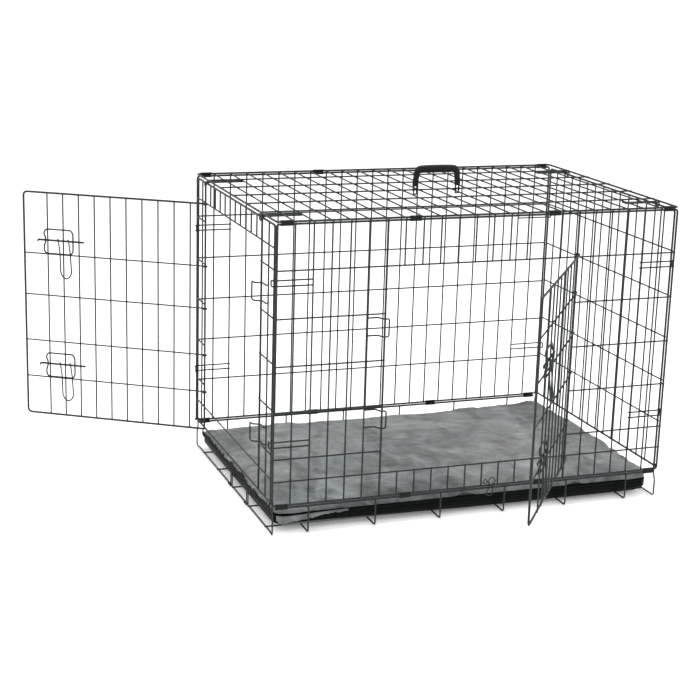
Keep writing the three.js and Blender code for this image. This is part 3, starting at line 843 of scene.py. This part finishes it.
def add_fold_hook(material):
    def at(x, z, w=FOLD_HOOK_W):
        return Vector((FOLD_HOOK_X + x, -HALF_Y - w, LONG_BOTTOM + z))

    def cup(x):
        centre = at(x, 0, 0)
        return arc(centre, (0, -1, 0), (0, 0, 1), FOLD_HOOK_W, 135, -5)

    arch = [
        at(-7, -26.5), at(-14, -21), at(-5, 0), at(-8, 10), at(-7, 18), at(0, 21.5),
        at(6, 18.5), at(9, 10), at(5, 0), at(0.5, -23), at(-6.5, -26.5),
    ]
    tail = [at(-8, 11), at(-12, 9.5), at(-19, 7.5), at(-26, 10, 9), at(-37, 13.5, 12)]
    loop = [at(-23, 9, 6), at(-23, 14), at(-18.6, 17.8), at(-13.5, 14), at(-13.5, 9)]
    shape = Shape()
    for line in (arch, tail, loop, cup(-5), cup(5)):
        shape.wire(flow(line, 5), FOLD_HOOK_R)
    shape.make("fold_hook_wire", material, "fold_hook", "front_fold_hook")


# ---- tray
CORNER_STEPS = 8
SIDE_STEPS = 24


def outline(half_x, half_y, radius):
    """Points round a rectangle with round corners."""
    points = []
    corners = [(1, -1, -90), (1, 1, 0), (-1, 1, 90), (-1, -1, 180)]

    def on_corner(sx, sy, degrees):
        turn = math.radians(degrees)
        x = sx * (half_x - radius) + radius * math.cos(turn)
        return x, sy * (half_y - radius) + radius * math.sin(turn)

    for i, (sx, sy, start) in enumerate(corners):
        for k in range(CORNER_STEPS + 1):
            points.append(on_corner(sx, sy, start + 90 * k / CORNER_STEPS))
        here, goal = points[-1], on_corner(*corners[(i + 1) % 4])
        for k in range(1, SIDE_STEPS):
            t = k / SIDE_STEPS
            points.append(tuple(a + (b - a) * t for a, b in zip(here, goal)))
    return points


TRAY_SWEEP = 10
TRAY_SWEEP_END = 430
TRAY_SWEEP_FRONT = 90
TRAY_SWEEP_EASE = 160
TRAY_DENT = 0.45


def add_tray(material):
    half_x, half_y = TRAY_HIGH[0], TRAY_HIGH[1]
    low, rim = TRAY_LOW[2], TRAY_HIGH[2]
    step = low + 15.5
    profile = [
        (34, 48, low), (24, 52, low + 0.8), (17.5, 50, low + 3.2), (13.2, 44, low + 6.8),
        (11, 36, low + 10.5), (9.6, 28, step - 1.6), (7.8, 24, step - 0.3),
        (3.6, 24, step + 0.2), (1.7, 24.5, step + 1.2), (1.2, 25, step + 3.2),
        (0.9, 25, rim - 10.2), (2.4, 24.6, rim - 9), (2.6, 24.5, rim - 7.4),
        (0.7, 25.6, rim - 6.2), (0, 26, rim - 5), (0, 26, rim - 2.4), (0.5, 25.7, rim - 1),
        (1.6, 25, rim - 0.2), (3, 24, rim), (10.5, 19, rim), (12.6, 17.5, rim - 0.5),
        (13.8, 16.5, rim - 2), (14.6, 16, rim - 6), (16, 15, low + 6), (18, 14, low + 3.6),
        (22, 12, low + 3),
    ]
    rings = []
    for inset, radius, z in profile:
        ring = []
        for x, y in outline(half_x - inset, half_y - inset, radius):
            dent = TRAY_DENT * rough(x * 0.006, y * 0.006, 3.0)
            factor = 1 - (TRAY_DENT + dent) / max(half_x, half_y)
            near_front = min(max(-y - TRAY_SWEEP_FRONT, 0) / TRAY_SWEEP_EASE, 1)
            swept = clamp(-x / TRAY_SWEEP_END) * near_front
            up = TRAY_SWEEP * swept * max(step - z, 0) / (step - low)
            ring.append(Vector((x * factor, y * factor, z + up)))
        rings.append(ring)
    shape = Shape()
    shape.skin(rings)
    shape.make("tray_shell", material, "tray", "tray", slot="black_plastic")


# ---- bed
BED_VOXEL = 5.5
BED_CAP = 5.0
BED_FRAMES = 20
PRESSURE = 1.2
SWELL = -0.035
FABRIC_STIFFNESS = 18
LIFTED_SPOTS = [(-8, 34), (300, 30)]
LIFTED_BY = 9
BROAD_SWELL = 2.4
FOLD_DEPTH = 2.4
PATCH_RISE = 1.4
TUFT_RISE = 0.5
SETTLED = 1.0
EDGE_WAVE = 3
BACK_DROOP = 0.38
RIGHT_RISE = 11
RIGHT_START = 330
RIGHT_EASE = 150


def bed_start():
    """The mat before it is filled: a closed shell, a little smaller than the finished one."""
    half_x, half_y = BED_HIGH[0] - 1, BED_HIGH[1] - 1
    rim = TRAY_HIGH[2]
    top = BED_HIGH[2]
    profile = [
        (22, 20, TRAY_LOW[2] + 4), (19, 18, TRAY_LOW[2] + 8), (18.5, 18, rim - 6),
        (16, 20, rim + 0.7), (4, 25, rim + 0.7), (1, 27, rim + 3), (0.4, 28, rim + 7),
        (2.5, 28, rim + 11), (8, 28, rim + 15), (18, 30, rim + 18.5), (42, 34, rim + 22.5),
        (85, 36, top - 3.6), (150, 36, top - 2.6),
    ]
    rings = []
    for inset, radius, z in profile:
        ring = outline(half_x - inset, half_y - inset, radius)
        rings.append([Vector((x, y, z)) for x, y in ring])
    shape = Shape()
    shape.skin(rings)
    return shape


def apply_modifiers(piece):
    bpy.context.view_layer.update()
    graph = bpy.context.evaluated_depsgraph_get()
    mesh = bpy.data.meshes.new_from_object(piece.evaluated_get(graph))
    piece.modifiers.clear()
    piece.data = mesh


def puff(piece):
    """Lets the mat swell and buckle as filled cloth, held along its foot."""
    rest = [vertex.co.copy() for vertex in piece.data.vertices]
    held = piece.vertex_groups.new(name="held")
    foot = (TRAY_HIGH[2] + 3) * MM
    held.add([i for i, p in enumerate(rest) if p.z < foot], 1.0, "REPLACE")
    cloth = piece.modifiers.new("cloth", "CLOTH")
    settings = cloth.settings
    settings.quality = 5
    settings.mass = 0.25
    settings.tension_stiffness = FABRIC_STIFFNESS
    settings.compression_stiffness = FABRIC_STIFFNESS
    settings.shear_stiffness = 8
    settings.bending_stiffness = 1.2
    settings.shrink_min = SWELL
    settings.vertex_group_mass = "held"
    settings.pin_stiffness = 1
    settings.use_pressure = True
    settings.uniform_pressure_force = PRESSURE
    settings.effector_weights.gravity = 0
    cloth.collision_settings.use_collision = False
    scene = bpy.context.scene
    for step in range(1, BED_FRAMES + 1):
        scene.frame_set(step)
    apply_modifiers(piece)
    scene.frame_set(1)
    for vertex, start in zip(piece.data.vertices, rest):
        move = vertex.co - start
        if move.length > BED_CAP * MM:
            vertex.co = start + move * (BED_CAP * MM / move.length)


def hump(value, centre, half):
    """A soft hill of height one about a centre."""
    t = (value - centre) / half
    return (1 - t * t) ** 2 if abs(t) < 1 else 0


def crush(piece):
    """The lie of the plush: shallow folds, crushed patches and an uneven, partly lifted edge."""
    rim = TRAY_HIGH[2] * MM
    edge_x, edge_y = BED_HIGH[0] * MM, BED_HIGH[1] * MM
    mesh = piece.data
    normals = [vertex.normal.copy() for vertex in mesh.vertices]
    for vertex, normal in zip(mesh.vertices, normals):
        p = vertex.co
        near_front = clamp((-p.y - edge_y + 0.06) / 0.05)
        raised = sum(hump(p.x / MM, *spot) for spot in LIFTED_SPOTS) * near_front
        if p.z < rim - 3 * MM:
            continue
        if normal.z < -0.4:
            vertex.co.z += raised * LIFTED_BY * MM
            continue
        # p is in metres, and what multiplies it is waves a metre
        broad = rough(p.x * 3.3, p.y * 5.6, 1.7)
        fold = max(1 - abs(rough(p.x * 6 + broad, p.y * 11, 4.2)) * 2.4, 0) ** 2
        patch = rough(p.x * 20, p.y * 36, 8.8)
        tuft = rough(p.x * 85, p.y * 130, p.z * 90)
        margin = min(edge_x - abs(p.x), edge_y - abs(p.y))
        wave = rough(p.x * 14, p.y * 14, 2.5) if margin < 0.03 else 0
        back = clamp((p.y - 0.12) / 0.16) * (1 - 0.55 * hump(p.x, 0.52, 0.3))
        upward = max(normal.z, 0)
        vertex.co.z -= BACK_DROOP * (p.z - rim) * back * upward
        lift = BROAD_SWELL * broad - FOLD_DEPTH * fold + PATCH_RISE * patch + TUFT_RISE * tuft
        lift -= SETTLED
        vertex.co.z += lift * MM * upward + EDGE_WAVE * wave * MM * abs(normal.z)
        shelf = clamp((p.x / MM - RIGHT_START) / RIGHT_EASE) * min((p.z - rim) / (9 * MM), 1)
        vertex.co.z += RIGHT_RISE * MM * max(shelf, 0) * max(1 - (p.z / MM - 58) / 60, 0)
        sideways = Vector((normal.x, normal.y, 0)) * (0.5 * patch + 0.6 * tuft - 0.8)
        vertex.co += sideways * MM
        vertex.co.z += raised * LIFTED_BY * MM


def rag(t, seed, size):
    """A torn edge: broad waves with finer wisps on them."""
    broad, middling, fine = rough(t * 0.02, seed, 0), rough(t * 0.07, seed, 5), rough(t * 0.21, seed, 9)
    return size * (broad + 0.8 * middling + 0.6 * fine)


def hanging_edge(name, stations, thick, material):
    """A strip of plush hanging beside the tray; stations hold place, outward, top and foot."""
    rings = []
    for (x, y), out, high, low in stations:
        middle, tall = (high + low) / 2, max((high - low) / 2, 0.4)
        out = Vector((*out, 0))
        section = oblong(thick / 2, tall, 3, 12)
        rings.append([Vector((x, y, middle + b)) + out * (a + thick / 2) for a, b in section])
    shape = Shape()
    shape.skin(rings)
    shape.make(name, material, "tray", slot="grey_plush")


FLAP_STEPS = 100
FLAP_STEP = 1.85
FRINGE_STEPS = 340


def add_bed_edges(plush, shaded):
    """The mat hangs low over the front left corner, and as a fringe down the left side, darkened with
    painted shade.
    """
    edge_x, edge_y = TRAY_HIGH[0] + 0.3, TRAY_HIGH[1] + 0.4
    rim = TRAY_HIGH[2]
    flap = []
    for i in range(FLAP_STEPS + 1):
        t = i / FLAP_STEPS
        x = -edge_x + 6 + i * FLAP_STEP
        drop = (1 - t * t * (3 - 2 * t)) ** 0.9
        tip = min(i / 9, 1)
        low = rim - 1 - 21 * drop + rag(x, 1.5, 3.4) + 9 * (1 - tip) ** 2
        high = rim + 1.5 - 4 * drop * tip
        flap.append(((x, -edge_y), (0, -1), high, min(low, high - 0.6)))
    hanging_edge("plush_corner_flap", flap, 5, plush)
    fringe = []
    for i in range(FRINGE_STEPS + 1):
        y = -edge_y + 14 + i * (2 * edge_y - 28) / FRINGE_STEPS
        low = rim - 4.5 + rag(y, 7.5, 2)
        high = rim + 6 + max(rag(y, 3.5, 12), -3)
        fringe.append(((-edge_x, y), (-1, 0), high, max(low, rim - 7.6)))
    hanging_edge("plush_left_fringe", fringe, 2.2, shaded)


def add_bed(material):
    shape = bed_start()
    bed = shape.make("plush_bed", material, "tray", "bed", slot="grey_plush")
    remesh = bed.modifiers.new("remesh", "REMESH")
    remesh.mode = "VOXEL"
    remesh.voxel_size = BED_VOXEL * MM
    apply_modifiers(bed)
    puff(bed)
    smooth = bed.modifiers.new("smooth", "SUBSURF")
    smooth.levels = smooth.render_levels = 1
    apply_modifiers(bed)
    crush(bed)
    bed.data.materials.clear()
    bed.data.materials.append(material)
    bed.data.polygons.foreach_set("use_smooth", [True] * len(bed.data.polygons))


# ---- carry handle
HANDLE_X = 19
HANDLE_SPAN = 59.5
HANDLE_AXIS_Z = HEIGHT + LAYER
LINK_APART = 4.5
LINK_RING = 3.85


def handle_bow():
    """Half of the bow, foot to grip: distance out, height, half-width and half-thickness."""
    grip_z = HANDLE_HIGH[2] - 10.6
    foot_z = HANDLE_AXIS_Z + 9.4
    half = [
        (HANDLE_SPAN + 0.2, foot_z, 6.6, 5.6), (HANDLE_SPAN + 0.2, foot_z + 2.4, 7.6, 6.3),
        (HANDLE_SPAN - 0.2, foot_z + 9, 7.6, 6.2), (HANDLE_SPAN - 1.2, foot_z + 20, 7.4, 6.1),
        (HANDLE_SPAN - 2.2, foot_z + 29, 7.7, 6.5), (HANDLE_SPAN - 3.9, grip_z - 8, 8.5, 7.5),
        (51, grip_z - 2, 9.3, 8.8), (44, grip_z - 0.4, 9.8, 9.6), (34, grip_z, 9.9, 9.9),
        (18, grip_z + 0.2, 10.1, 10.1),
    ]
    middle = [(0, grip_z + 0.2, 10.2, 10.2)]
    return half + middle + [(-x, z, a, b) for x, z, a, b in reversed(half)]


def add_handle(material):
    """Splayed legs and a crowned grip, on open links that hang on the middle roof wire."""
    shape = Shape()
    bow_points = handle_bow()
    line = flow([(HANDLE_X + x, 0, z) for x, z, _, _ in bow_points], 4)
    halves = flow([(a, b, 0) for _, _, a, b in bow_points], 4)
    rings = []
    for i, centre in enumerate(line):
        back, ahead = line[max(i - 1, 0)], line[min(i + 1, len(line) - 1)]
        over = (ahead - back).normalized().cross(Vector((0, 1, 0)))
        ring = []
        for a, b in oblong(1, 1, 2.7, 28):
            point = centre + over * a * halves[i].x
            point.y += b * halves[i].y
            ring.append(point)
        rings.append(ring)
    shape.skin(rings)
    foot_z = HANDLE_AXIS_Z + 10.6
    low_z = HANDLE_AXIS_Z - 11.5
    for side in (-1, 1):
        x = HANDLE_X + side * HANDLE_SPAN
        block = [(x - 6.9, 0, foot_z), (x + 6.9, 0, foot_z)]
        shape.sweep(block, oblong(5.4, 1.7, 4), across=(0, 1, 0))
        for cheek in (x - LINK_APART, x + LINK_APART):
            centre = (cheek, 0, HANDLE_AXIS_Z)
            eye = arc(centre, (0, 1, 0), (0, 0, 1), LINK_RING, 0, 345, 23)
            shape.sweep(eye, oblong(1.5, 1.45, 4, 16), across=(1, 0, 0), closed=True)
            for near, far in ((LINK_RING, 10), (-LINK_RING, -11.5)):
                stem = [(cheek, 0, HANDLE_AXIS_Z + near), (cheek, 0, HANDLE_AXIS_Z + far)]
                shape.sweep(stem, oblong(1.5, 2.2, 4, 16), across=(1, 0, 0))
        bar = [(x - 6, 0, low_z), (x + 6, 0, low_z)]
        shape.sweep(bar, oblong(2.1, 1.7, 3, 16), across=(0, 1, 0))
    shape.make("handle_moulding", material, "handle", "carry_handle", slot="black_plastic")


# ---- materials
class Nodes:
    """A material's node tree, with short ways to add nodes and feed them."""

    def __init__(self, name):
        self.material = bpy.data.materials.new(name)
        self.material.use_nodes = True
        self.tree = self.material.node_tree
        self.tree.nodes.clear()
        output = self.tree.nodes.new("ShaderNodeOutputMaterial")
        self.shader = self.tree.nodes.new("ShaderNodeBsdfPrincipled")
        self.tree.links.new(self.shader.outputs["BSDF"], output.inputs["Surface"])
        place = self.tree.nodes.new("ShaderNodeTexCoord")
        self.place = place.outputs["Object"]

    def feed(self, node, values):
        """Sets a node's inputs by name, or links what feeds them."""
        for name, value in values.items():
            socket = node.inputs[name.replace("_", " ")]
            if isinstance(value, bpy.types.NodeSocket):
                self.tree.links.new(value, socket)
            else:
                socket.default_value = value

    def set(self, **values):
        self.feed(self.shader, values)

    def add(self, kind, **values):
        node = self.tree.nodes.new(f"ShaderNode{kind}")
        self.feed(node, values)
        return node

    def stretched(self, scale):
        return self.add("Mapping", Scale=scale, Vector=self.place).outputs["Vector"]

    def noise(self, scale, detail, roughness=0.55, vector=None, distortion=0.0):
        node = self.add("TexNoise", Scale=scale, Detail=detail, Roughness=roughness)
        self.feed(node, {"Distortion": distortion, "Vector": vector or self.place})
        return node.outputs["Fac"]

    def cells(self, scale):
        return self.add("TexVoronoi", Scale=scale, Vector=self.place).outputs["Distance"]

    def ramp(self, factor, *stops):
        node = self.add("ValToRGB", Fac=factor)
        while len(node.color_ramp.elements) < len(stops):
            node.color_ramp.elements.new(0.5)
        for element, (position, color) in zip(node.color_ramp.elements, stops):
            element.position = position
            element.color = (*color, 1)
        return node.outputs["Color"]

    def mask(self, factor, start, end):
        return self.ramp(factor, (start, (0, 0, 0)), (end, (1, 1, 1)))

    def levels(self, factor, low, high):
        node = self.add("MapRange", Value=factor, From_Min=0.3, From_Max=0.7, To_Min=low, To_Max=high)
        return node.outputs["Result"]

    def mix(self, factor, first, second, blend="MIX"):
        node = self.tree.nodes.new("ShaderNodeMix")
        node.data_type = "RGBA"
        node.blend_type = blend
        for value, name in ((factor, "Factor"), (first, "A"), (second, "B")):
            sockets = [s for s in node.inputs if s.name == name and s.enabled]
            if isinstance(value, bpy.types.NodeSocket):
                self.tree.links.new(value, sockets[0])
            elif name == "Factor":
                sockets[0].default_value = value
            else:
                sockets[0].default_value = (*value, 1)
        return [s for s in node.outputs if s.enabled][0]

    def tint(self, factor, color, by):
        return self.mix(factor, color, by, "MULTIPLY")

    def bump(self, height, strength, distance, **under):
        node = self.add("Bump", Height=height, Strength=strength, Distance=distance, **under)
        return node.outputs["Normal"]


def wire_coat():
    """Satin dark grey-green coating: soft drips, orange peel and rubbed specks."""
    nodes = Nodes("wire_coat_look")
    drift = nodes.noise(35, 4)
    coat = nodes.ramp(drift, (0.32, (0.0055, 0.0085, 0.0085)), (0.68, (0.0125, 0.017, 0.0168)))
    specks = nodes.mask(nodes.noise(420, 2), 0.68, 0.78)
    color = nodes.mix(specks, coat, (0.03, 0.037, 0.036))
    satin = nodes.levels(nodes.noise(90, 3), 0.38, 0.58)
    peel = nodes.bump(nodes.noise(650, 2), 0.25, 0.0003)
    drips = nodes.bump(nodes.noise(70, 3), 0.3, 0.0006, Normal=peel)
    nodes.set(Base_Color=color, Roughness=satin, Normal=drips, Metallic=0.0, Specular_IOR_Level=0.3)
    return nodes.material


def clip_steel():
    """Coated sheet steel with drawn lines and rubbed patches."""
    nodes = Nodes("clip_steel_look")
    drawn = nodes.noise(160, 3, vector=nodes.stretched((1, 9, 9)))
    worn = nodes.mask(nodes.noise(260, 4), 0.6, 0.74)
    base = nodes.ramp(drawn, (0.3, (0.003, 0.004, 0.004)), (0.7, (0.008, 0.0105, 0.0105)))
    color = nodes.mix(worn, base, (0.045, 0.052, 0.05))
    nodes.set(Base_Color=color, Roughness=nodes.levels(drawn, 0.28, 0.48))
    nodes.set(Normal=nodes.bump(drawn, 0.25, 0.0003), Metallic=0.35, Specular_IOR_Level=0.2)
    return nodes.material


def moulded_plastic(shine):
    """Black moulded plastic with a fine grain and faint scuffs."""
    nodes = Nodes("black_plastic_look")
    broad = nodes.noise(14, 4)
    base = nodes.ramp(broad, (0.3, (0.0013, 0.0018, 0.0018)), (0.7, (0.003, 0.0038, 0.0038)))
    scuffs = nodes.noise(85, 5, 0.7, nodes.stretched((1, 5, 5)), 0.6)
    marks = nodes.mask(scuffs, 0.62, 0.74)
    color = nodes.mix(marks, base, (0.0075, 0.009, 0.009))
    grain = nodes.bump(nodes.cells(900), 0.22, 0.0003)
    dents = nodes.bump(nodes.noise(60, 2), 0.1, 0.0008, Normal=grain)
    nodes.set(Base_Color=color, Roughness=nodes.levels(broad, 0.36, 0.52), Normal=dents)
    nodes.set(Specular_IOR_Level=shine)
    return nodes.material


def crushed_plush(painted_shade_level=1.0):
    """Short grey pile, brushed and crushed in patches that catch the light differently; a level below one
    darkens the whole copy as painted shade.
    """
    nodes = Nodes("grey_plush_look")
    brushed = nodes.noise(6, 4, 0.55, nodes.stretched((0.9, 0.9, 1)), 1.4)
    patches = nodes.noise(20, 5, 0.6, nodes.stretched((1, 0.9, 1)), 1.0)
    pile = nodes.noise(430, 3, 0.6, nodes.stretched((1, 1.6, 1)))
    tone = nodes.ramp(
        brushed,
        (0.32, (0.082, 0.084, 0.084)), (0.46, (0.128, 0.139, 0.139)),
        (0.57, (0.162, 0.168, 0.168)), (0.72, (0.212, 0.236, 0.236)),
    )
    shade = nodes.ramp(patches, (0.34, (0.62, 0.62, 0.63)), (0.66, (1.26, 1.26, 1.26)))
    blots = nodes.noise(9, 3, 0.55, nodes.stretched((1.15, 0.6, 1)), 1.2)
    spots = nodes.ramp(blots, (0.35, (0.43, 0.42, 0.43)), (0.51, (1.1, 1.1, 1.1)))
    crushed = nodes.tint(0.85, nodes.tint(0.8, tone, spots), shade)
    tips = nodes.ramp(pile, (0.32, (0.62, 0.62, 0.62)), (0.68, (1.2, 1.2, 1.2)))
    napped = nodes.tint(0.75, crushed, tips)
    warmth = nodes.noise(4.5, 3, 0.5, nodes.stretched((1, 1.4, 1)))
    warm = nodes.ramp(warmth, (0.4, (0.95, 1.0, 1.0)), (0.62, (1.02, 0.99, 0.99)))
    # the level multiplies the colour, and below one it is a painted shade over the whole copy
    color = nodes.tint(1.0, nodes.tint(1.0, napped, warm), (painted_shade_level,) * 3)
    lie = nodes.bump(patches, 0.6, 0.006, Normal=nodes.bump(pile, 0.8, 0.0022))
    nodes.set(Base_Color=color, Roughness=nodes.levels(patches, 0.85, 1.0), Normal=lie)
    nodes.set(Sheen_Weight=0.25 * painted_shade_level, Sheen_Roughness=0.5, Specular_IOR_Level=0.15)
    return nodes.material


def pale_floor():
    nodes = Nodes("studio_floor_look")
    tone = nodes.ramp(nodes.noise(0.6, 2), (0.3, (0.93, 0.93, 0.93)), (0.7, (0.96, 0.96, 0.96)))
    nodes.set(Base_Color=tone, Roughness=0.9, Specular_IOR_Level=0.1)
    nodes.set(Emission_Color=tone, Emission_Strength=0.16)
    return nodes.material


# ---- studio, in metres
FLOOR_REACH = 40
SKY_STRENGTH = 1.07


def add_light(name, place, aim, size, power):
    data = bpy.data.lights.new(name, "AREA")
    data.shape = "SQUARE"
    data.size = size
    data.energy = power
    light = put(name, data)
    light.location = place
    heading = Vector(aim) - Vector(place)
    light.rotation_euler = heading.to_track_quat("-Z", "Y").to_euler()


def add_studio():
    mesh = bpy.data.meshes.new("studio_floor")
    corners = [(x * FLOOR_REACH, y * FLOOR_REACH, 0) for x, y in ((-1, -1), (1, -1), (1, 1), (-1, 1))]
    mesh.from_pydata(corners, [], [(0, 1, 2, 3)])
    mesh.materials.append(pale_floor())
    floor = put("studio_floor", mesh)
    world = bpy.data.worlds.new("studio")
    world.use_nodes = True
    background = world.node_tree.nodes["Background"]
    background.inputs["Color"].default_value = (1, 1, 1, 1)
    background.inputs["Strength"].default_value = SKY_STRENGTH
    bpy.context.scene.world = world
    middle = (0, 0, 0.4)
    add_light("key", (-2.6, -3.2, 3.6), middle, 2.6, 90)
    add_light("fill", (3.2, -2.6, 2.4), middle, 3.0, 35)
    add_light("top", (0.2, 0.8, 4.2), middle, 3.0, 60)
    bpy.context.scene.view_settings.view_transform = "Standard"


coat = wire_coat()
builders = [floor_panel, front_panel, back_panel, roof_panel, left_end_panel, right_end_panel]
builders += [add_doors, add_corner_hooks, add_stops, add_fold_hook]
for build in builders:
    build(coat)
add_clips(clip_steel())
add_tray(moulded_plastic(0.05))
add_handle(moulded_plastic(0.2))
plush = crushed_plush()
add_bed(plush)
# the left fringe takes a copy of the plush darkened to 0.06 as painted shade
add_bed_edges(plush, crushed_plush(0.06))
add_studio()
